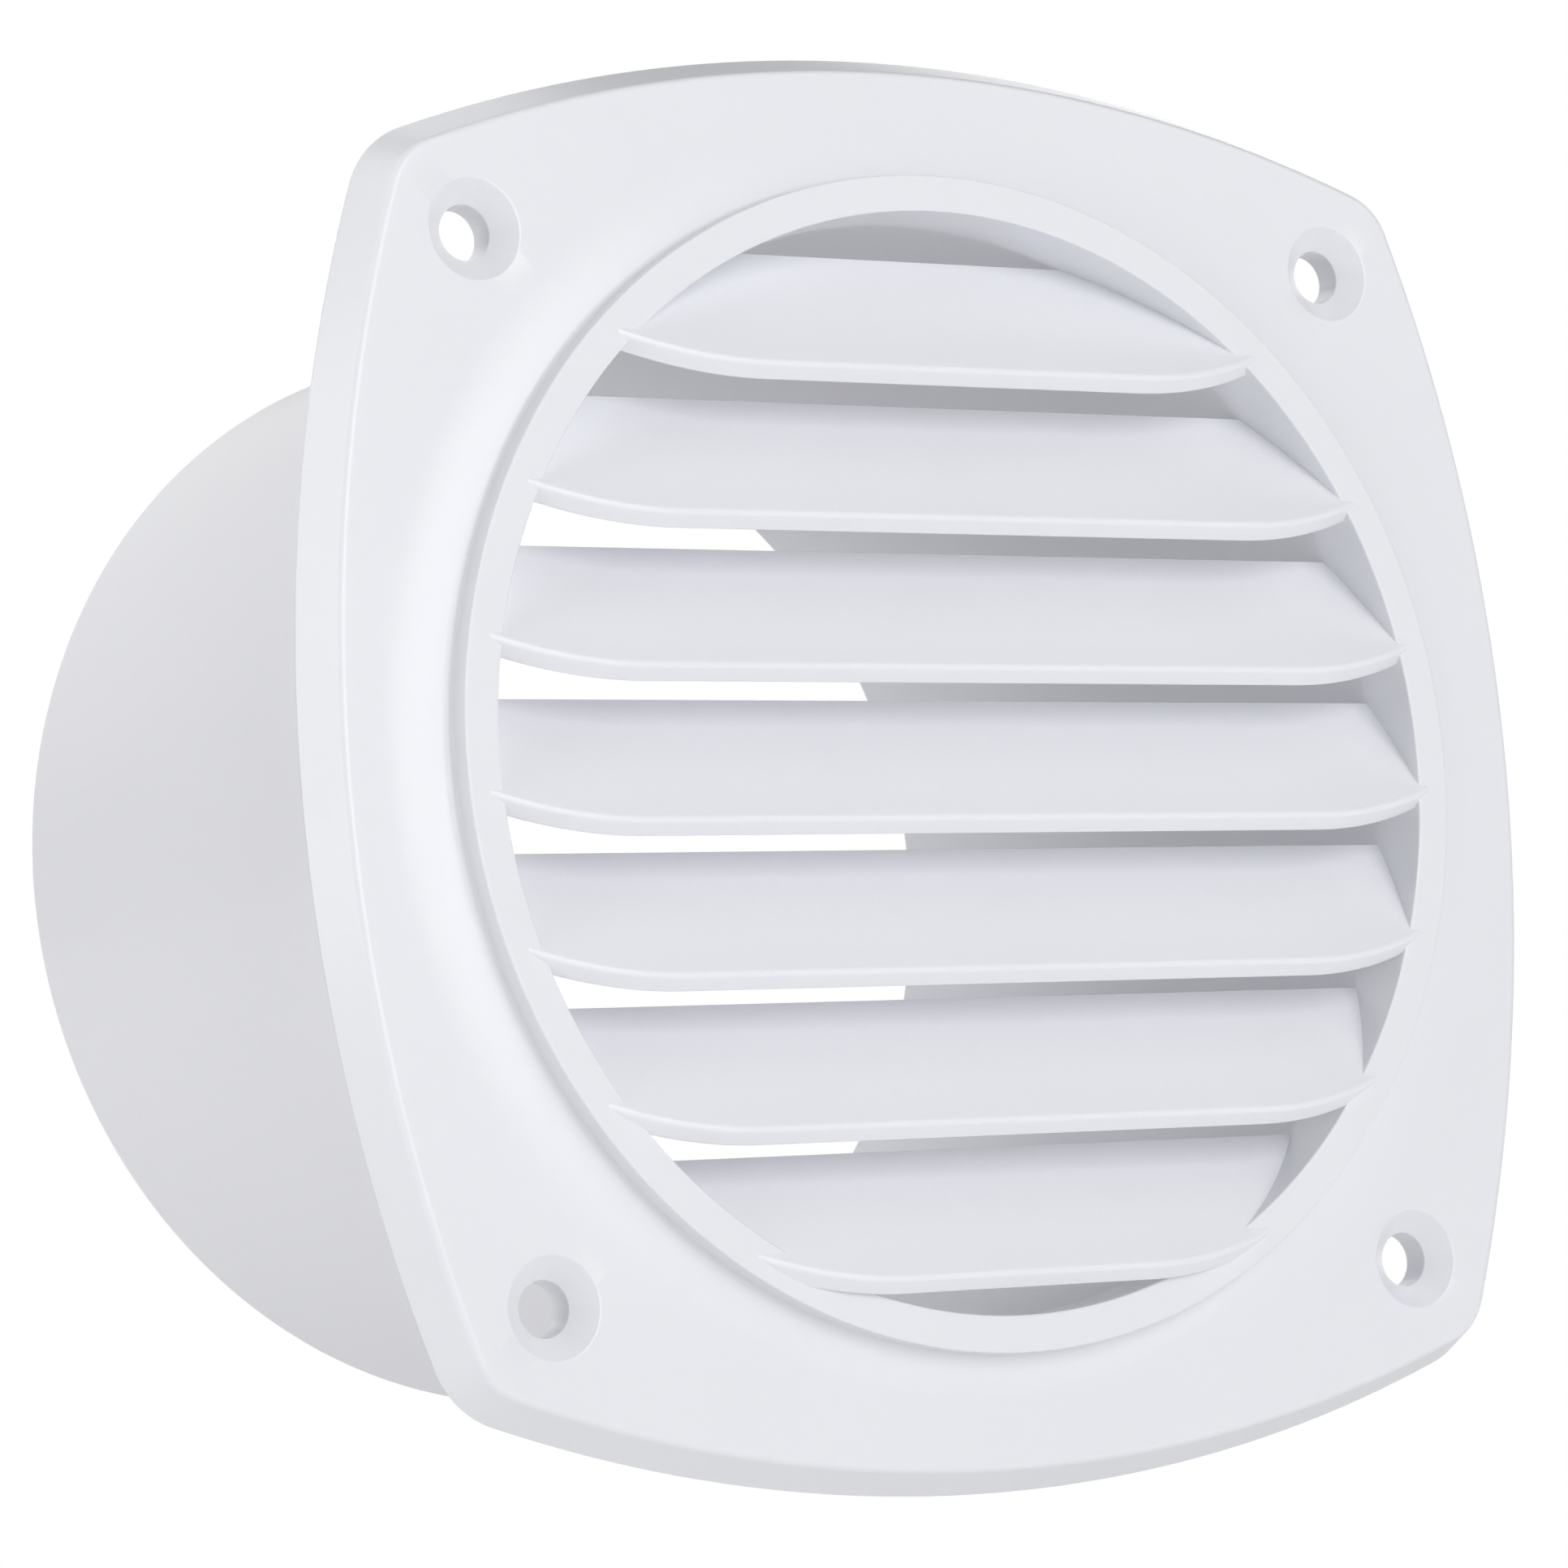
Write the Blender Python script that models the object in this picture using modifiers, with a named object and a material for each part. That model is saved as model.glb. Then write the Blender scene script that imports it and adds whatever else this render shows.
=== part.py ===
"""Louvred wall vent with a round duct tail, for a recreational vehicle or a boat.

Frame: the duct axis is Y. The origin is on that axis, in the plane where the
flange seats on the wall. -Y is the outside, with the louvres; the tail runs
along +Y through the wall; +Z is up. All lengths are in metres.
"""

import math

import bmesh
import bpy
from mathutils import Matrix, Vector

MM = 0.001

# Flange: a square with bulged sides, whose side wall flares out to the back.
FLANGE_DEPTH = 4.5 * MM
FACE_HALF = 60.9 * MM
SIDE_RADIUS = 144.5 * MM
FACE_CORNER_RADIUS = 5.5 * MM
FLARE = 2.15 * MM
SEAT_CORNER_RADIUS = 8.6 * MM
FLANGE_WALL = 2.2 * MM

# Screw holes, one at each corner of a square, each in its own boss.
HOLE_SPACING = 90.0 * MM
HOLE_RADIUS = 2.4 * MM
COUNTERSINK_RADIUS = 4.35 * MM
COUNTERSINK_DEPTH = 1.75 * MM
BOSS_RADIUS = 4.8 * MM

# Tube: the raised ring at its front, the tail behind it.
TUBE_RADIUS = 51.2 * MM
RING_BORE_RADIUS = 48.0 * MM
RING_PROUD = 2.95 * MM
RING_BACK_Y = -1.0 * MM
TAIL_LENGTH = 73.8 * MM
TAIL_END_RADIUS = 51.0 * MM
TAIL_FRONT_BORE_RADIUS = 47.9 * MM
TAIL_END_BORE_RADIUS = 46.9 * MM
TAIL_CHAMFER = 0.6 * MM

# Collar of the flange around the tube, and the cove that rises to the ring.
COLLAR_WALL = 2.0 * MM
COLLAR_SHORT_OF_SEAT = 0.6 * MM
COVE_RADIUS = 57.2 * MM
COVE_RISE = 0.9 * MM
COVE_POWER = 1.5
COVE_SUNK = 0.1 * MM

# Louvre blades: flat strips that slope down to the front, one above another.
BLADE_COUNT = 7
BLADE_PITCH = 13.0 * MM
BLADE_SLOPE = math.radians(54.0)
BLADE_THICKNESS = 1.9 * MM
BLADE_DROP = 2.65 * MM
NOSE_PROUD = 2.05 * MM
NOSE_TILT = math.radians(47.0)
NOSE_ROUND = 0.5 * MM
BLADE_BACK_Y = -1.2 * MM
TIP_RADIUS = 49.85 * MM
TIP_CURVE_RADIUS = 53.0 * MM
TIP_OVERRUN = 1.15

GAP = 0.3 * MM
PAST = 5.0 * MM
MERGE = 0.00001

# Screw bosses and holes start off the axes, so that none of their corners line up.
OFF_AXIS = math.radians(7.0)

TURN_STEPS = 72
HOLE_STEPS = 24
SIDE_STEPS = 8
CORNER_STEPS = 5
COVE_STEPS = 4
TIP_STEPS = 6

FACE_Y = -FLANGE_DEPTH
RING_Y = FACE_Y - RING_PROUD
NOSE_Y = RING_Y - NOSE_PROUD
PLATE_BACK_Y = FACE_Y + FLANGE_WALL

GLOSS_WHITE = ((0.86, 0.875, 0.89, 1.0), 0.22)
SATIN_WHITE = ((0.82, 0.83, 0.85, 1.0), 0.38)


def clear_scene():
    for item in list(bpy.data.objects):
        bpy.data.objects.remove(item, do_unlink=True)


def new_collection(name):
    collection = bpy.data.collections.new(name)
    bpy.context.scene.collection.children.link(collection)
    return collection


def make_material(name, finish):
    color, roughness = finish
    material = bpy.data.materials.new(name)
    material.use_nodes = True
    shader = material.node_tree.nodes["Principled BSDF"]
    shader.inputs["Base Color"].default_value = color
    shader.inputs["Roughness"].default_value = roughness
    shader.inputs["Metallic"].default_value = 0.0
    return material


def add_object(name, mesh, collection):
    item = bpy.data.objects.new(name, mesh)
    collection.objects.link(item)
    return item


def finish_part(item, material):
    """Give a part its material and smooth shading with sharp edges kept."""
    item.data.materials.append(material)
    item.data.shade_smooth()
    item.data.set_sharp_from_angle(angle=math.radians(30.0))


def as_cutter(item):
    item.hide_render = True
    item.display_type = "WIRE"
    return item


def add_boolean(item, other, operation):
    modifier = item.modifiers.new(operation.lower(), "BOOLEAN")
    modifier.operation = operation
    modifier.solver = "EXACT"
    modifier.object = other


def turned(name, profile, collection, steps=TURN_STEPS, closed=True, start=0.0):
    """Turn (radius, y) points about the duct axis, from an angle to start at.

    The points run towards -Y on the outer side. A profile that is not closed
    starts and ends on the axis.
    """
    mesh = bpy.data.meshes.new(name)
    points = [(radius * math.cos(start), radius * math.sin(start), y) for radius, y in profile]
    edges = [(i, i + 1) for i in range(len(points) - 1)]
    if closed:
        edges.append((len(points) - 1, 0))
    mesh.from_pydata(points, edges, [])
    item = add_object(name, mesh, collection)
    item.rotation_euler = (-math.pi / 2.0, 0.0, 0.0)
    screw = item.modifiers.new("turn", "SCREW")
    screw.axis = "Z"
    screw.angle = 2.0 * math.pi
    screw.steps = steps
    screw.render_steps = steps
    screw.use_merge_vertices = True
    screw.merge_threshold = MERGE
    return item


def bulged_square(half, side_radius, corner_radius):
    """Outline of a square whose sides are arcs, with rounded corners, as (x, z) points."""
    side_centre = half - side_radius
    reach = side_radius - corner_radius
    corner = (side_centre + math.sqrt(2.0 * reach**2 - side_centre**2)) / 2.0
    side_angle = math.atan2(corner, corner - side_centre)
    quarter = []
    for i in range(SIDE_STEPS + 1):
        angle = side_angle * (2.0 * i / SIDE_STEPS - 1.0)
        x = side_centre + side_radius * math.cos(angle)
        quarter.append(Vector((x, side_radius * math.sin(angle))))
    corner_sweep = math.pi / 2.0 - 2.0 * side_angle
    for i in range(1, CORNER_STEPS):
        angle = side_angle + corner_sweep * i / CORNER_STEPS
        x = corner + corner_radius * math.cos(angle)
        quarter.append(Vector((x, corner + corner_radius * math.sin(angle))))
    outline = []
    for turn in range(4):
        spin = Matrix.Rotation(turn * math.pi / 2.0, 2)
        outline.extend(spin @ point for point in quarter)
    return outline


def tapered_slab(name, front, front_y, back, back_y, collection):
    """A solid between two outlines of equally many points, in two planes across Y."""
    shape = bmesh.new()
    corners = [shape.verts.new((p.x, front_y, p.y)) for p in front]
    face = shape.faces.new(corners)
    grown = bmesh.ops.extrude_face_region(shape, geom=[face], use_keep_orig=True)
    moved = [v for v in grown["geom"] if isinstance(v, bmesh.types.BMVert)]
    places = {corner.co.to_tuple(6): p for corner, p in zip(corners, back)}
    for vert in moved:
        p = places[vert.co.to_tuple(6)]
        vert.co = (p.x, back_y, p.y)
    bmesh.ops.recalc_face_normals(shape, faces=shape.faces)
    mesh = bpy.data.meshes.new(name)
    shape.to_mesh(mesh)
    shape.free()
    return add_object(name, mesh, collection)


def hole_places():
    half = HOLE_SPACING / 2.0
    return [(x, z) for x in (-half, half) for z in (-half, half)]


def make_flange(parts, cutters, material):
    face = bulged_square(FACE_HALF, SIDE_RADIUS, FACE_CORNER_RADIUS)
    seat = bulged_square(FACE_HALF + FLARE, SIDE_RADIUS + FLARE, SEAT_CORNER_RADIUS)
    flange = tapered_slab("flange_plate", face, FACE_Y, seat, 0.0, parts)

    inside = FACE_HALF + FLARE * FLANGE_WALL / FLANGE_DEPTH - FLANGE_WALL
    hollow_radius = SIDE_RADIUS - FLANGE_WALL
    deep = bulged_square(inside, hollow_radius, FACE_CORNER_RADIUS)
    open_half = FACE_HALF + FLARE - FLANGE_WALL
    mouth = bulged_square(open_half, hollow_radius, FACE_CORNER_RADIUS)
    hollow = tapered_slab("hollow", deep, PLATE_BACK_Y, mouth, MM, cutters)
    add_boolean(flange, as_cutter(hollow), "DIFFERENCE")

    for x, z in hole_places():
        boss = cylinder("boss", BOSS_RADIUS, FACE_Y + MM, 0.0, cutters)
        boss.location.x = x
        boss.location.z = z
        add_boolean(flange, as_cutter(boss), "UNION")
    add_boolean(flange, as_cutter(make_collar(cutters)), "UNION")
    bore = cylinder("collar_bore", TUBE_RADIUS + GAP, FACE_Y - PAST, PAST, cutters, TURN_STEPS)
    add_boolean(flange, as_cutter(bore), "DIFFERENCE")
    for x, z in hole_places():
        hole = make_countersunk_hole(cutters)
        hole.location.x = x
        hole.location.z = z
        add_boolean(flange, as_cutter(hole), "DIFFERENCE")
    finish_part(flange, material)


def cylinder(name, radius, start_y, end_y, collection, steps=HOLE_STEPS):
    profile = [(0.0, end_y), (radius, end_y), (radius, start_y), (0.0, start_y)]
    return turned(name, profile, collection, steps, closed=False, start=OFF_AXIS)


def make_collar(cutters):
    """Sleeve around the tube, whose front rises in a cove from the flange's face."""
    bore = TUBE_RADIUS + GAP / 2.0
    outer = TUBE_RADIUS + GAP + COLLAR_WALL
    root_y = PLATE_BACK_Y - MM
    profile = [(outer, -COLLAR_SHORT_OF_SEAT), (outer, root_y), (COVE_RADIUS, root_y)]
    for i in range(COVE_STEPS + 1):
        inward = i / COVE_STEPS
        radius = COVE_RADIUS + (bore - COVE_RADIUS) * inward
        rise = (COVE_RISE + COVE_SUNK) * inward**COVE_POWER
        profile.append((radius, FACE_Y + COVE_SUNK - rise))
    profile.append((bore, -COLLAR_SHORT_OF_SEAT))
    return turned("collar", profile, cutters)


def make_countersunk_hole(cutters):
    slope = (COUNTERSINK_RADIUS - HOLE_RADIUS) / COUNTERSINK_DEPTH
    profile = [
        (0.0, PAST),
        (HOLE_RADIUS, PAST),
        (HOLE_RADIUS, FACE_Y + COUNTERSINK_DEPTH),
        (COUNTERSINK_RADIUS + slope * MM, FACE_Y - MM),
        (0.0, FACE_Y - MM),
    ]
    return turned("countersunk_hole", profile, cutters, HOLE_STEPS, False, OFF_AXIS)


def make_ring(parts, material):
    profile = [
        (TUBE_RADIUS, RING_BACK_Y),
        (TUBE_RADIUS, RING_Y),
        (RING_BORE_RADIUS, RING_Y),
        (RING_BORE_RADIUS, RING_BACK_Y),
    ]
    finish_part(turned("louvre_ring", profile, parts), material)


def make_tail(parts, material):
    start_y = RING_BACK_Y + GAP
    profile = [
        (TAIL_END_RADIUS - TAIL_CHAMFER, TAIL_LENGTH),
        (TAIL_END_RADIUS, TAIL_LENGTH - TAIL_CHAMFER),
        (TUBE_RADIUS, start_y),
        (TAIL_FRONT_BORE_RADIUS, start_y),
        (TAIL_END_BORE_RADIUS, TAIL_LENGTH),
    ]
    finish_part(turned("duct_tail", profile, parts), material)


def blade_crossing(row):
    """Height at which a blade's upper face crosses the ring's front plane."""
    return BLADE_PITCH * ((BLADE_COUNT - 1) / 2.0 - row) - BLADE_DROP


def blade_section(set_back):
    """Section of a blade as (y, z) points, z counted from its crossing of the ring's plane.

    Its nose, with a rounded upper edge, lies back by set_back along the blade.
    """
    rise = math.tan(BLADE_SLOPE)
    uphill = Vector((math.cos(BLADE_SLOPE), math.sin(BLADE_SLOPE)))
    nose_down = Vector((math.sin(NOSE_TILT), -math.cos(NOSE_TILT)))
    nose_y = NOSE_Y + set_back
    corner = Vector((nose_y, (nose_y - RING_Y) * rise))
    nose_length = BLADE_THICKNESS / math.cos(BLADE_SLOPE - NOSE_TILT)
    bottom = corner + nose_down * nose_length
    under_back_z = bottom.y + (BLADE_BACK_Y - bottom.x) * rise
    half_angle = uphill.angle(nose_down) / 2.0
    tangent = NOSE_ROUND / math.tan(half_angle)
    inward = (uphill + nose_down).normalized()
    return [
        Vector((BLADE_BACK_Y, (BLADE_BACK_Y - RING_Y) * rise)),
        corner + uphill * tangent,
        corner + inward * NOSE_ROUND * (1.0 / math.sin(half_angle) - 1.0),
        corner + nose_down * tangent,
        bottom,
        Vector((BLADE_BACK_Y, under_back_z)),
    ]


def blade_stations(row):
    """(x, set_back) along a blade: straight in the middle, then an arc back at each end.

    The arc passes its tip, on the ring's face, and goes on until the blade's back edge
    has reached the wall of the bore.
    """
    crossing = blade_crossing(row)
    back_z = crossing + (BLADE_BACK_Y - RING_Y) * math.tan(BLADE_SLOPE)
    tip = math.sqrt(TIP_RADIUS**2 - crossing**2)
    wall = math.sqrt(RING_BORE_RADIUS**2 - back_z**2)
    run = math.sqrt(2.0 * TIP_CURVE_RADIUS * NOSE_PROUD - NOSE_PROUD**2)
    reach = max(run * TIP_OVERRUN, wall - tip + run)
    half = []
    for i in range(TIP_STEPS + 1):
        along = reach * i / TIP_STEPS
        set_back = TIP_CURVE_RADIUS - math.sqrt(TIP_CURVE_RADIUS**2 - along**2)
        half.append((tip - run + along, set_back))
    return [(-x, set_back) for x, set_back in reversed(half)] + half


def make_blade(row, envelope, parts, material):
    name = f"louvre_blade_{row + 1}"
    lift = blade_crossing(row)
    shape = bmesh.new()
    rings = []
    for x, set_back in blade_stations(row):
        section = blade_section(set_back)
        rings.append([shape.verts.new((x, p.x, p.y + lift)) for p in section])
    for one, two in zip(rings, rings[1:]):
        for i in range(len(one)):
            j = (i + 1) % len(one)
            shape.faces.new((one[i], one[j], two[j], two[i]))
    shape.faces.new(rings[0])
    shape.faces.new(rings[-1])
    bmesh.ops.recalc_face_normals(shape, faces=shape.faces)
    mesh = bpy.data.meshes.new(name)
    shape.to_mesh(mesh)
    shape.free()
    blade = add_object(name, mesh, parts)
    add_boolean(blade, envelope, "INTERSECT")
    finish_part(blade, material)


def make_blade_envelope(cutters):
    """The space a blade may fill: the ring's bore, and a step over the ring's face."""
    bore = RING_BORE_RADIUS - GAP
    step_y = RING_Y - GAP
    front_y = NOSE_Y - PAST
    profile = [(0.0, MM), (bore, MM), (bore, step_y), (TIP_RADIUS, step_y)]
    profile += [(TIP_RADIUS, front_y), (0.0, front_y)]
    return as_cutter(turned("blade_envelope", profile, cutters, closed=False))


def main():
    clear_scene()
    parts = new_collection("louvred_vent")
    cutters = new_collection("cutters")
    make_flange(parts, cutters, make_material("flange_gloss", GLOSS_WHITE))
    make_ring(parts, make_material("ring_gloss", GLOSS_WHITE))
    make_tail(parts, make_material("tail_satin", SATIN_WHITE))
    envelope = make_blade_envelope(cutters)
    for row in range(BLADE_COUNT):
        material = make_material(f"blade_satin_{row + 1}", SATIN_WHITE)
        make_blade(row, envelope, parts, material)


main()
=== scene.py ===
"""Looks of the louvred wall vent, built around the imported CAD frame.

All lengths are in metres. The duct's axis is Y, the outside is -Y and up is +Z.
Each piece takes the place of one CAD node, with rounded edges and a moulded surface.
"""

import math

import bmesh
import bpy
from mathutils import Matrix, Vector


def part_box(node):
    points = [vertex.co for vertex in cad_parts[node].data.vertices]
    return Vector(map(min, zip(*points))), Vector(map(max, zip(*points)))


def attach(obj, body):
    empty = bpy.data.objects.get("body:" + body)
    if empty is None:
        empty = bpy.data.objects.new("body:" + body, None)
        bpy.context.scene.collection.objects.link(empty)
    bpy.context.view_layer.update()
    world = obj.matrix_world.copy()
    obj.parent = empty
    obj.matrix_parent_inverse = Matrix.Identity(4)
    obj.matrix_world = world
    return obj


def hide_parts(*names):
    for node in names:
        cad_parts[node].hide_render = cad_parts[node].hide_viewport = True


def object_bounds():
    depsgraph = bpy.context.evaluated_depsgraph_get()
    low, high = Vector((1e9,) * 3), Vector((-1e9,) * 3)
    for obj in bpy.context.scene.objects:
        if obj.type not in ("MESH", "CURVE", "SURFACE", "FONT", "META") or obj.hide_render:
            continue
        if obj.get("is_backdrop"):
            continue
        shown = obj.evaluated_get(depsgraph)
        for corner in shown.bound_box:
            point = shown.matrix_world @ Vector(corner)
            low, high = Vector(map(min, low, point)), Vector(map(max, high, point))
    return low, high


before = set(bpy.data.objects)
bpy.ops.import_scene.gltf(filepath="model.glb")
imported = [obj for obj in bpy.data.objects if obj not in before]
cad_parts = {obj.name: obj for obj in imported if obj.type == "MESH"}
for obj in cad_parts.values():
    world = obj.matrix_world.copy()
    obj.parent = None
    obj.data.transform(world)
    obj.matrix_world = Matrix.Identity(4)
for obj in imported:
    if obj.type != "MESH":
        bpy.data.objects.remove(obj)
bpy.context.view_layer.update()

MM = 0.001
BODY = "root"
BLADE_COUNT = 7
MIDDLE_BLADE = "louvre_blade_4"

# Places taken from the frame.
FLANGE_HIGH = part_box("flange_plate")[1]
RING_LOW, RING_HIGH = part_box("louvre_ring")
SEAT_Y = FLANGE_HIGH.y
SEAT_HALF = FLANGE_HIGH.x
RING_Y = RING_LOW.y
RING_BACK_Y = RING_HIGH.y
TUBE_RADIUS = RING_HIGH.x
TAIL_END_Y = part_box("duct_tail")[1].y
BLADE_BACK_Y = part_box(MIDDLE_BLADE)[1].y

# Flange: a bulged square that flares from its face to its seat.
FACE_Y = SEAT_Y - 4.5 * MM
FLARE = 2.15 * MM
FACE_HALF = SEAT_HALF - FLARE
SIDE_RADIUS = 144.5 * MM
FACE_CORNER_RADIUS = 5.5 * MM
SEAT_CORNER_RADIUS = 8.6 * MM
LEAST_CORNER_SHARE = 0.5
WALL = 2.2 * MM
RIM_BEVEL = 0.35 * MM
EDGE_ROUND = 0.75 * MM
INSIDE_FILLET = 0.8 * MM
FACE_LAND = 1.3 * MM
FLOOR_LAND = 1.5 * MM

# The low cove that rises from the face to the ring, and the fillet at the ring's foot.
COVE_RADIUS = 57.2 * MM
COVE_RISE = 0.6 * MM
COVE_POWER = 1.8
FOOT_WIDTH = 0.7 * MM
FOOT_HEIGHT = 0.45 * MM

# The collar behind the flange. Its bore and the foot are tucked into the ring's wall.
COLLAR_RADIUS = TUBE_RADIUS + 2.3 * MM
COLLAR_END_Y = SEAT_Y - 0.6 * MM
TUCK = 0.15 * MM

# Screw bosses, each rooted in the flange's wall with a flared foot.
HOLE_OFFSET = 45.0 * MM
BOSS_RADIUS = 4.8 * MM
BOSS_ROOT_DEPTH = 1.0 * MM
BOSS_FLARE = 0.5 * MM
BOSS_FOOT_DIP = 0.05 * MM
BOSS_FOOT_ROUND = 0.3 * MM
BOSS_TOP_ROUND = 0.25 * MM
BOSS_SIDES = 64

# Countersunk screw holes, with a softened lip and a broken edge at the back.
HOLE_RADIUS = 2.4 * MM
COUNTERSINK_RADIUS = 4.35 * MM
COUNTERSINK_DEPTH = 1.75 * MM
LIP_WIDTH = 0.28 * MM
LIP_ABOVE = 0.03 * MM
LIP_INSET = 0.02 * MM
LIP_BELOW = 0.06 * MM
LIP_ROUND = 0.1 * MM
THROAT_ROUND = 0.2 * MM
BROKEN_EDGE_START = 0.25 * MM
BROKEN_EDGE_WIDTH = 0.4 * MM
BROKEN_EDGE_PAST = 0.1 * MM
HOLE_SIDES = 96

# How far the cutters reach past what they cut, and how near its axis a turned one ends.
CUT_WIDER = 0.6 * MM
CUT_ABOVE = 0.5 * MM
CUT_BELOW = 1.0 * MM
CUT_FRONT = 5.0 * MM
NEAR_AXIS = 0.02 * MM

# Tube: ring and tail. The tail starts a little inside the ring's end.
BORE_RADIUS = 48.0 * MM
RING_EDGE_ROUND = 0.18 * MM
TAIL_OVERLAP = 0.1 * MM
TAIL_END_RADIUS = 51.0 * MM
TAIL_END_BORE = 46.9 * MM
TAIL_EDGE_ROUND = 0.6 * MM

# Blades. Their ends are trimmed inside the ring's wall, and their tips on its face.
BLADE_SLOPE = math.radians(54.0)
BLADE_THICKNESS = 1.9 * MM
NOSE_Y = RING_Y - 2.05 * MM
NOSE_TILT = math.radians(47.0)
NOSE_ROUND = 0.5 * MM
NOSE_UNDER_ROUND = 0.25 * MM
BACK_ROUND = 0.07 * MM
BACK_UNDER_ROUND = 0.3 * MM
TIP_RADIUS = 49.85 * MM
TIP_CURVE_RADIUS = 53.0 * MM
TIP_OVERRUN = 1.2
BLADE_ROOT_RADIUS = 49.4 * MM
TIP_CLEARANCE = 0.3 * MM

# Numbers of points: round a whole loop, on one of the flange's sides, and on each arc.
AROUND = 256
SIDE_SHARE = 44
ARC_STEPS = 6
COVE_STEPS = 14
TIP_STEPS = 32

SHARP_ANGLE = math.radians(40.0)
NORMAL_WEIGHT = 60


def rounded(corners, steps=ARC_STEPS):
    """Points of a polyline whose inner corners (a, b, radius) are arcs of that radius."""
    points = [Vector(corners[0][:2])]
    for before, corner, after in zip(corners, corners[1:], corners[2:]):
        here = Vector(corner[:2])
        radius = corner[2]
        if radius == 0.0:
            points.append(here)
            continue
        back = (Vector(before[:2]) - here).normalized()
        ahead = (Vector(after[:2]) - here).normalized()
        half_angle = back.angle(ahead) / 2.0
        centre = here + (back + ahead).normalized() * radius / math.sin(half_angle)
        start = here + back * radius / math.tan(half_angle) - centre
        sweep = math.pi - 2.0 * half_angle
        turn = 1.0 if back.x * ahead.y - back.y * ahead.x < 0.0 else -1.0
        for i in range(steps + 1):
            points.append(centre + Matrix.Rotation(turn * sweep * i / steps, 2) @ start)
    points.append(Vector(corners[-1][:2]))
    return points


def bulged_square(half):
    """Outline (x, z) of the flange at a half width, from the face's size to the seat's."""
    share = (half - FACE_HALF) / FLARE
    side_radius = SIDE_RADIUS + half - FACE_HALF
    growth = SEAT_CORNER_RADIUS - FACE_CORNER_RADIUS
    least_radius = FACE_CORNER_RADIUS * LEAST_CORNER_SHARE
    corner_radius = max(FACE_CORNER_RADIUS + growth * share, least_radius)
    side_centre = half - side_radius
    reach = side_radius - corner_radius
    corner = (side_centre + math.sqrt(2.0 * reach**2 - side_centre**2)) / 2.0
    side_angle = math.atan2(corner, corner - side_centre)
    quarter = []
    for i in range(SIDE_SHARE + 1):
        angle = side_angle * (2.0 * i / SIDE_SHARE - 1.0)
        x = side_centre + side_radius * math.cos(angle)
        quarter.append(Vector((x, side_radius * math.sin(angle))))
    corner_share = AROUND // 4 - SIDE_SHARE
    corner_sweep = math.pi / 2.0 - 2.0 * side_angle
    for i in range(1, corner_share):
        angle = side_angle + corner_sweep * i / corner_share
        x = corner + corner_radius * math.cos(angle)
        quarter.append(Vector((x, corner + corner_radius * math.sin(angle))))
    outline = []
    for turn in range(4):
        spin = Matrix.Rotation(turn * math.pi / 2.0, 2)
        outline.extend(spin @ point for point in quarter)
    return outline


def square_loop(half, y):
    return [(p.x, y, p.y) for p in bulged_square(half)]


def circle_loop(radius, y, angles):
    return [(radius * math.cos(a), y, radius * math.sin(a)) for a in angles]


def even_angles(count):
    return [2.0 * math.pi * i / count for i in range(count)]


def loft(name, loops, ring=True):
    """A closed skin through loops of equally many points: a ring, or capped at its ends."""
    count = len(loops[0])
    points = [point for loop in loops for point in loop]
    faces = []
    last = len(loops) if ring else len(loops) - 1
    for i in range(last):
        here = i * count
        there = ((i + 1) % len(loops)) * count
        for j in range(count):
            k = (j + 1) % count
            faces.append((here + j, here + k, there + k, there + j))
    if not ring:
        faces.append(tuple(reversed(range(count))))
        faces.append(tuple(range(len(points) - count, len(points))))
    mesh = bpy.data.meshes.new(name)
    mesh.from_pydata(points, [], faces)
    return mesh


def facing_out(mesh):
    shape = bmesh.new()
    shape.from_mesh(mesh)
    bmesh.ops.recalc_face_normals(shape, faces=shape.faces)
    shape.to_mesh(mesh)
    shape.free()
    return mesh


def add_object(name, mesh):
    item = bpy.data.objects.new(name, facing_out(mesh))
    bpy.context.scene.collection.objects.link(item)
    return item


def turned(name, profile, x=0.0, z=0.0, count=AROUND, ring=True):
    """An object turned about an axis along Y through (x, z), from (radius, y) points."""
    angles = even_angles(count)
    loops = [circle_loop(radius, y, angles) for radius, y in profile]
    item = add_object(name, loft(name, loops, ring))
    item.location = (x, 0.0, z)
    return item


def apply_boolean(item, tool, operation):
    """Cut or join with a tool object, which is then removed."""
    modifier = item.modifiers.new("cut", "BOOLEAN")
    modifier.operation = operation
    modifier.solver = "EXACT"
    modifier.object = tool
    bpy.context.view_layer.update()
    graph = bpy.context.evaluated_depsgraph_get()
    mesh = bpy.data.meshes.new_from_object(item.evaluated_get(graph))
    item.modifiers.remove(modifier)
    old = item.data
    item.data = mesh
    bpy.data.meshes.remove(old)
    bpy.data.objects.remove(tool)


def finish_piece(item, material, slot, *nodes):
    """Give a piece its material and shading, and put it in the place of its CAD nodes."""
    item.data.materials.clear()
    item.data.materials.append(material)
    item.data.shade_smooth()
    item.data.set_sharp_from_angle(angle=SHARP_ANGLE)
    weighted = item.modifiers.new("even_shading", "WEIGHTED_NORMAL")
    weighted.keep_sharp = True
    weighted.weight = NORMAL_WEIGHT
    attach(item, BODY)
    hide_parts(*nodes)


# Pieces


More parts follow.
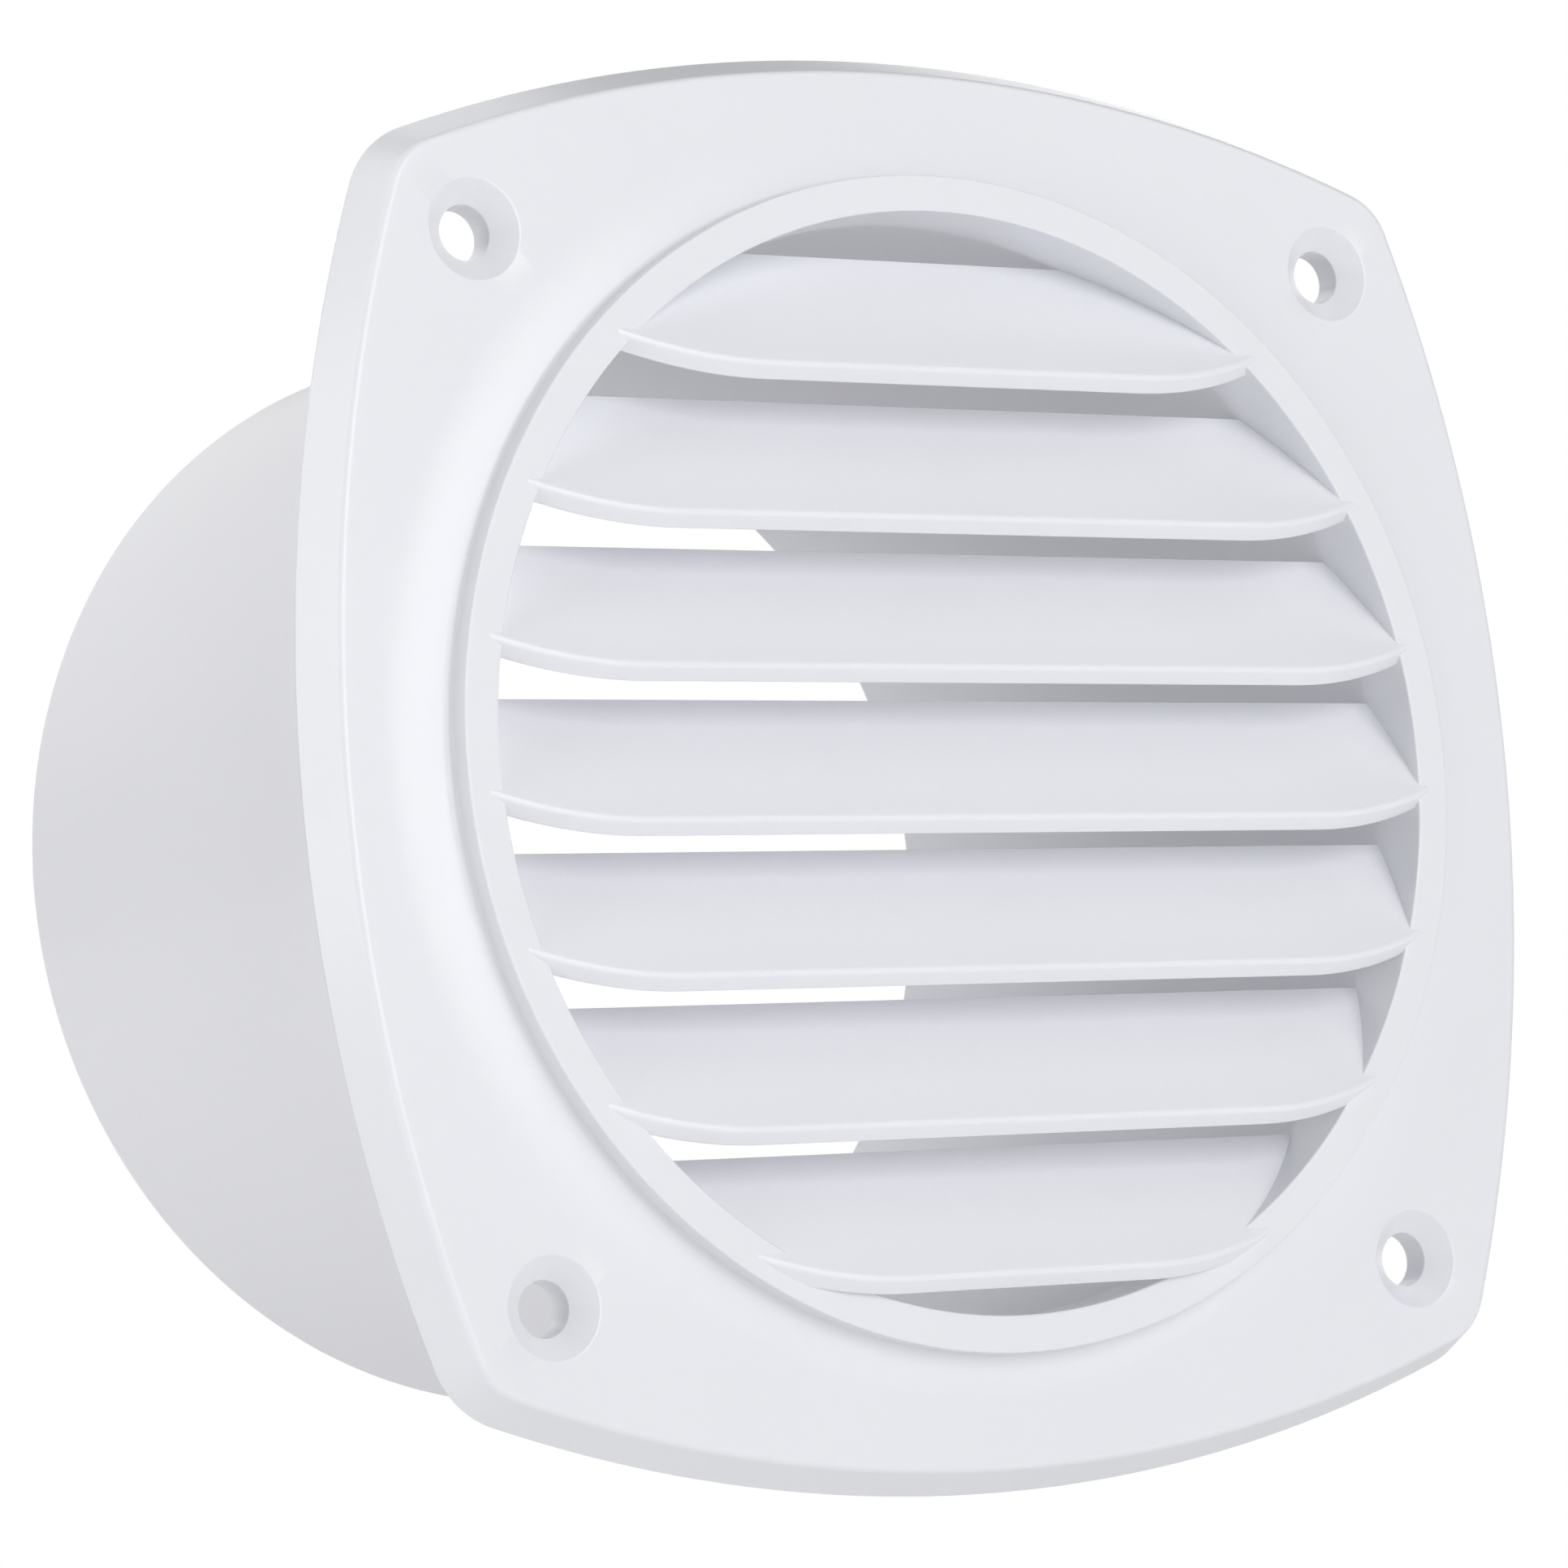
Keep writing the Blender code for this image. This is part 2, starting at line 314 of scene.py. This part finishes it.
def flange_profiles():
    """The flange's section: its outer part as half widths, its inner part as radii."""
    flare_per_depth = FLARE / (SEAT_Y - FACE_Y)
    floor_y = FACE_Y + WALL
    mouth = SEAT_HALF - WALL
    floor_half = mouth - flare_per_depth * (SEAT_Y - floor_y)
    outer = rounded(
        [
            (FACE_HALF - FACE_LAND, FACE_Y),
            (FACE_HALF, FACE_Y, EDGE_ROUND),
            (SEAT_HALF, SEAT_Y, RIM_BEVEL),
            (mouth, SEAT_Y, RIM_BEVEL),
            (floor_half, floor_y, INSIDE_FILLET),
            (floor_half - FLOOR_LAND, floor_y),
        ]
    )
    tucked = TUBE_RADIUS - TUCK
    inner = rounded(
        [
            (COLLAR_RADIUS + FLOOR_LAND, floor_y),
            (COLLAR_RADIUS, floor_y, INSIDE_FILLET),
            (COLLAR_RADIUS, COLLAR_END_Y, RIM_BEVEL),
            (tucked, COLLAR_END_Y),
        ]
    )
    foot_radius = TUBE_RADIUS + FOOT_WIDTH
    top_y = FACE_Y - COVE_RISE
    cove = [Vector((tucked, top_y - FOOT_HEIGHT))]
    for i in range(ARC_STEPS):
        angle = math.pi / 2.0 * i / ARC_STEPS
        y = top_y - FOOT_HEIGHT * (1.0 - math.sin(angle))
        cove.append(Vector((foot_radius - FOOT_WIDTH * math.cos(angle), y)))
    for i in range(COVE_STEPS + 1):
        inward = 1.0 - i / COVE_STEPS
        radius = COVE_RADIUS + (foot_radius - COVE_RADIUS) * inward
        cove.append(Vector((radius, FACE_Y - COVE_RISE * inward**COVE_POWER)))
    return outer, inner + cove


def make_flange(material):
    outer, inner = flange_profiles()
    angles = [math.atan2(p.y, p.x) for p in bulged_square(FACE_HALF)]
    loops = [square_loop(half, y) for half, y in outer]
    loops += [circle_loop(radius, y, angles) for radius, y in inner]
    flange = add_object("vent_flange", loft("vent_flange", loops))
    for x in (-HOLE_OFFSET, HOLE_OFFSET):
        for z in (-HOLE_OFFSET, HOLE_OFFSET):
            apply_boolean(flange, make_boss(x, z), "UNION")
            apply_boolean(flange, make_hole(x, z), "DIFFERENCE")
    finish_piece(flange, material, "flange_white", "flange_plate")


def make_boss(x, z):
    floor_y = FACE_Y + WALL
    root_y = floor_y - BOSS_ROOT_DEPTH
    foot_radius = BOSS_RADIUS + BOSS_FLARE
    profile = rounded(
        [
            (NEAR_AXIS, root_y),
            (foot_radius, root_y, 0.0),
            (foot_radius, floor_y - BOSS_FOOT_DIP, 0.0),
            (BOSS_RADIUS, floor_y + BOSS_FLARE, BOSS_FOOT_ROUND),
            (BOSS_RADIUS, SEAT_Y, BOSS_TOP_ROUND),
            (NEAR_AXIS, SEAT_Y),
        ]
    )
    return turned("boss", profile, x, z, BOSS_SIDES, ring=False)


def make_hole(x, z):
    start_y = FACE_Y - CUT_ABOVE
    end_y = SEAT_Y + CUT_BELOW
    broken_radius = HOLE_RADIUS + BROKEN_EDGE_WIDTH
    profile = rounded(
        [
            (NEAR_AXIS, start_y),
            (COUNTERSINK_RADIUS + CUT_WIDER, start_y, 0.0),
            (COUNTERSINK_RADIUS + LIP_WIDTH, FACE_Y - LIP_ABOVE, 0.0),
            (COUNTERSINK_RADIUS + LIP_INSET, FACE_Y + LIP_BELOW, LIP_ROUND),
            (HOLE_RADIUS, FACE_Y + COUNTERSINK_DEPTH, THROAT_ROUND),
            (HOLE_RADIUS, SEAT_Y - BROKEN_EDGE_START, 0.0),
            (broken_radius, SEAT_Y + BROKEN_EDGE_PAST, 0.0),
            (broken_radius, end_y, 0.0),
            (NEAR_AXIS, end_y),
        ]
    )
    return turned("hole", profile, x, z, HOLE_SIDES, ring=False)


def make_ring(material):
    profile = rounded(
        [
            (TUBE_RADIUS, RING_BACK_Y),
            (TUBE_RADIUS, RING_Y, RING_EDGE_ROUND),
            (BORE_RADIUS, RING_Y, RING_EDGE_ROUND),
            (BORE_RADIUS, RING_BACK_Y),
        ]
    )
    finish_piece(turned("vent_ring", profile), material, "ring_white", "louvre_ring")


def make_tail(material):
    start_y = RING_BACK_Y - TAIL_OVERLAP
    profile = rounded(
        [
            (BORE_RADIUS, start_y),
            (TAIL_END_BORE, TAIL_END_Y, TAIL_EDGE_ROUND),
            (TAIL_END_RADIUS, TAIL_END_Y, TAIL_EDGE_ROUND),
            (TUBE_RADIUS, start_y),
        ]
    )
    finish_piece(turned("vent_tail", profile), material, "tail_white", "duct_tail")


def blade_section(set_back):
    """Blade section (y, z), z from where the upper face crosses the ring's front plane."""
    rise = math.tan(BLADE_SLOPE)
    nose_y = NOSE_Y + set_back
    corner = Vector((nose_y, (nose_y - RING_Y) * rise))
    nose_down = Vector((math.sin(NOSE_TILT), -math.cos(NOSE_TILT)))
    nose_length = BLADE_THICKNESS / math.cos(BLADE_SLOPE - NOSE_TILT)
    bottom = corner + nose_down * nose_length
    top_back = Vector((BLADE_BACK_Y, (BLADE_BACK_Y - RING_Y) * rise))
    low_back = Vector((BLADE_BACK_Y, bottom.y + (BLADE_BACK_Y - bottom.x) * rise))
    middle_back = (top_back + low_back) / 2.0
    return rounded(
        [
            tuple(middle_back),
            (*top_back, BACK_ROUND),
            (*corner, NOSE_ROUND),
            (*bottom, NOSE_UNDER_ROUND),
            (*low_back, BACK_UNDER_ROUND),
            tuple(middle_back),
        ]
    )[:-1]


def blade_stations(crossing):
    """(x, set_back) along a blade: straight in the middle, then an arc back at each end.

    The arc passes its tip, on the ring's face, and goes on until the blade's back edge
    is inside the ring's wall.
    """
    proud = RING_Y - NOSE_Y
    back_z = crossing + (BLADE_BACK_Y - RING_Y) * math.tan(BLADE_SLOPE)
    tip = math.sqrt(TIP_RADIUS**2 - crossing**2)
    wall = math.sqrt(BLADE_ROOT_RADIUS**2 - back_z**2)
    run = math.sqrt(2.0 * TIP_CURVE_RADIUS * proud - proud**2)
    reach = max(run * TIP_OVERRUN, wall - tip + run)
    half = []
    for i in range(TIP_STEPS + 1):
        along = reach * i / TIP_STEPS
        set_back = TIP_CURVE_RADIUS - math.sqrt(TIP_CURVE_RADIUS**2 - along**2)
        half.append((tip - run + along, set_back))
    return [(-x, set_back) for x, set_back in reversed(half)] + half


def make_blade(number, material):
    """One blade, counted from the top, with its ends trimmed to the ring."""
    node = f"louvre_blade_{number}"
    rise = math.tan(BLADE_SLOPE)
    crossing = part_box(node)[1].z - (BLADE_BACK_Y - RING_Y) * rise
    loops = []
    for x, set_back in blade_stations(crossing):
        loops.append([(x, p.x, p.y + crossing) for p in blade_section(set_back)])
    name = f"vent_blade_{number}"
    blade = add_object(name, loft(name, loops, ring=False))
    back_y = SEAT_Y + CUT_BELOW
    step_y = RING_Y + TIP_CLEARANCE
    front_y = NOSE_Y - CUT_FRONT
    tip_radius = TIP_RADIUS + TIP_CLEARANCE
    envelope = [
        (NEAR_AXIS, back_y),
        (BLADE_ROOT_RADIUS, back_y),
        (BLADE_ROOT_RADIUS, step_y),
        (tip_radius, step_y),
        (tip_radius, front_y),
        (NEAR_AXIS, front_y),
    ]
    tool = turned("blade_envelope", envelope, ring=False)
    apply_boolean(blade, tool, "INTERSECT")
    finish_piece(blade, material, "blade_white", node)


# Materials

PLASTIC_IOR = 1.53
MOTTLE_SIZE = 22.0 * MM
MOTTLE_SHADE = 0.975
MOTTLE_GLOSS = 0.1
PEEL_SIZE = 2.4 * MM
PEEL_DEPTH = 0.02 * MM
GRAIN_SIZE = 0.35 * MM
GRAIN_DEPTH = 0.01 * MM
GRAIN_BUMP = 0.25


def white_plastic(name, color, roughness, peel, grain):
    """Injection-moulded white plastic: faint mottling, orange peel and a fine grain.

    peel is the strength of the orange peel's bump, and grain the darkening in its pits.
    """
    material = bpy.data.materials.new(name)
    material.use_nodes = True
    nodes = material.node_tree.nodes
    links = material.node_tree.links
    shader = nodes["Principled BSDF"]
    shader.inputs["IOR"].default_value = PLASTIC_IOR
    place = nodes.new("ShaderNodeTexCoord")

    def noise(size, detail, rough=0.5):
        node = nodes.new("ShaderNodeTexNoise")
        node.inputs["Scale"].default_value = 1.0 / size
        node.inputs["Detail"].default_value = detail
        node.inputs["Roughness"].default_value = rough
        links.new(place.outputs["Object"], node.inputs["Vector"])
        return node.outputs["Fac"]

    def remap(value, low, high):
        node = nodes.new("ShaderNodeMapRange")
        node.inputs["To Min"].default_value = low
        node.inputs["To Max"].default_value = high
        links.new(value, node.inputs["Value"])
        return node.outputs["Result"]

    mottle = noise(MOTTLE_SIZE, detail=3.0)
    fine = noise(GRAIN_SIZE, detail=2.0, rough=0.7)
    tint = nodes.new("ShaderNodeMix")
    tint.data_type = "RGBA"
    tint.inputs["A"].default_value = (*[c * MOTTLE_SHADE for c in color], 1.0)
    tint.inputs["B"].default_value = (*color, 1.0)
    links.new(remap(mottle, 0.0, 1.0), tint.inputs["Factor"])
    speckle = nodes.new("ShaderNodeMix")
    speckle.data_type = "RGBA"
    speckle.blend_type = "MULTIPLY"
    speckle.inputs["Factor"].default_value = 1.0
    links.new(tint.outputs["Result"], speckle.inputs["A"])
    shade = nodes.new("ShaderNodeCombineColor")
    level = remap(fine, 1.0 - grain, 1.0)
    for channel in ("Red", "Green", "Blue"):
        links.new(level, shade.inputs[channel])
    links.new(shade.outputs["Color"], speckle.inputs["B"])
    links.new(speckle.outputs["Result"], shader.inputs["Base Color"])

    glossiest = roughness * (1.0 - MOTTLE_GLOSS)
    dullest = roughness * (1.0 + MOTTLE_GLOSS)
    links.new(remap(mottle, glossiest, dullest), shader.inputs["Roughness"])

    wave = nodes.new("ShaderNodeBump")
    wave.inputs["Strength"].default_value = peel
    wave.inputs["Distance"].default_value = PEEL_DEPTH
    links.new(noise(PEEL_SIZE, detail=1.0), wave.inputs["Height"])
    sand = nodes.new("ShaderNodeBump")
    sand.inputs["Strength"].default_value = GRAIN_BUMP
    sand.inputs["Distance"].default_value = GRAIN_DEPTH
    links.new(fine, sand.inputs["Height"])
    links.new(wave.outputs["Normal"], sand.inputs["Normal"])
    links.new(sand.outputs["Normal"], shader.inputs["Normal"])
    return material


# Stage

ROOM_LIGHT = 0.05
BACKDROP = 1.0
FLOOR_SIDE = 3.0
FLOOR_DROP = 62.0 * MM
FLOOR_PALE = 0.9
FLOOR_ROUGHNESS = 0.8
FLOOR_GLOW = 0.07
LAMP_DISTANCE = 1.5
LAMP_SIZE = 1.2
# Each lamp's name, azimuth and elevation in degrees, and watts.
LAMPS = [
    ("front", 0.0, 10.0, 13.7),
    ("right", 33.0, 0.0, 2.6),
    ("right_high", 33.0, 45.0, 4.2),
    ("left", -95.0, 10.0, 9.1),
    ("left_high", -95.0, 50.0, 4.0),
    ("left_back", -130.0, 5.0, 3.3),
    ("right_back", 130.0, 10.0, 6.6),
    ("back_high", 180.0, 35.0, 6.2),
]


VIEW_AZIMUTH = math.radians(-33.37)
VIEW_ELEVATION = math.radians(-6.55)
VIEW_ROLL = math.radians(4.52)
VIEW_DISTANCE = 0.56525
AIM_RIGHT = 4.446 * MM
AIM_UP = 3.185 * MM
SENSOR = 36.0
LENS = 141.9
NEAR_CLIP = 0.01


def outward(azimuth, elevation):
    """Direction away from the object: azimuth 0 is in front of it, 90 degrees at its right."""
    flat = math.cos(elevation)
    return Vector((math.sin(azimuth) * flat, -math.cos(azimuth) * flat, math.sin(elevation)))


def make_floor():
    """A pale floor, well below the object, that glows a little and casts no shadow."""
    low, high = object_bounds()
    z = low.z - FLOOR_DROP
    half = FLOOR_SIDE / 2.0
    mesh = bpy.data.meshes.new("floor")
    corners = [(-half, -half, z), (half, -half, z), (half, half, z), (-half, half, z)]
    mesh.from_pydata(corners, [], [(0, 1, 2, 3)])
    floor = bpy.data.objects.new("floor", mesh)
    bpy.context.scene.collection.objects.link(floor)
    material = bpy.data.materials.new("pale_floor")
    material.use_nodes = True
    shader = material.node_tree.nodes["Principled BSDF"]
    shader.inputs["Base Color"].default_value = (FLOOR_PALE, FLOOR_PALE, FLOOR_PALE, 1.0)
    shader.inputs["Roughness"].default_value = FLOOR_ROUGHNESS
    shader.inputs["Emission Color"].default_value = (1.0, 1.0, 1.0, 1.0)
    shader.inputs["Emission Strength"].default_value = FLOOR_GLOW
    mesh.materials.append(material)
    floor.visible_shadow = False
    floor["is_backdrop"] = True


def make_world(fill, backdrop):
    """An even room light. The camera sees a plain white backdrop in its place."""
    world = bpy.data.worlds.new("studio")
    bpy.context.scene.world = world
    world.use_nodes = True
    nodes = world.node_tree.nodes
    links = world.node_tree.links
    nodes.clear()
    output = nodes.new("ShaderNodeOutputWorld")
    mix = nodes.new("ShaderNodeMixShader")
    path = nodes.new("ShaderNodeLightPath")
    room = nodes.new("ShaderNodeBackground")
    room.inputs["Color"].default_value = (1.0, 1.0, 1.0, 1.0)
    room.inputs["Strength"].default_value = fill
    white = nodes.new("ShaderNodeBackground")
    white.inputs["Color"].default_value = (1.0, 1.0, 1.0, 1.0)
    white.inputs["Strength"].default_value = backdrop
    links.new(path.outputs["Is Camera Ray"], mix.inputs["Fac"])
    links.new(room.outputs["Background"], mix.inputs[1])
    links.new(white.outputs["Background"], mix.inputs[2])
    links.new(mix.outputs["Shader"], output.inputs["Surface"])


def softbox(name, azimuth, elevation, watts):
    """A square lamp that faces the object."""
    data = bpy.data.lights.new(name, "AREA")
    data.shape = "SQUARE"
    data.size = LAMP_SIZE
    data.energy = watts
    lamp = bpy.data.objects.new(name, data)
    lamp.location = outward(math.radians(azimuth), math.radians(elevation)) * LAMP_DISTANCE
    lamp.rotation_euler = lamp.location.to_track_quat("Z", "Y").to_euler()
    bpy.context.scene.collection.objects.link(lamp)


def make_camera():
    low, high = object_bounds()
    data = bpy.data.cameras.new("camera")
    data.sensor_width = SENSOR
    data.lens = LENS
    data.clip_start = NEAR_CLIP
    camera = bpy.data.objects.new("camera", data)
    bpy.context.scene.collection.objects.link(camera)
    backward = outward(VIEW_AZIMUTH, VIEW_ELEVATION)
    level_right = Vector((math.cos(VIEW_AZIMUTH), math.sin(VIEW_AZIMUTH), 0.0))
    level_up = backward.cross(level_right)
    roll = Matrix.Rotation(-VIEW_ROLL, 3, backward)
    right = roll @ level_right
    up = roll @ level_up
    aim = (low + high) / 2.0 + right * AIM_RIGHT + up * AIM_UP
    turn = Matrix((right, up, backward)).transposed().to_4x4()
    camera.matrix_world = Matrix.Translation(aim + backward * VIEW_DISTANCE) @ turn
    bpy.context.scene.camera = camera


def main():
    gloss = white_plastic(
        "gloss_white", (0.82, 0.83, 0.869), roughness=0.26, peel=0.25, grain=0.02
    )
    satin = white_plastic(
        "satin_white", (0.867, 0.874, 0.916), roughness=0.38, peel=0.35, grain=0.035
    )
    duct = white_plastic(
        "duct_white", (0.816, 0.819, 0.856), roughness=0.42, peel=0.35, grain=0.035
    )
    make_flange(gloss)
    make_ring(gloss)
    make_tail(duct)
    for number in range(1, BLADE_COUNT + 1):
        make_blade(number, satin)
    make_floor()
    make_world(ROOM_LIGHT, BACKDROP)
    for lamp in LAMPS:
        softbox(*lamp)
    make_camera()
    bpy.context.scene.view_settings.view_transform = "Standard"


main()
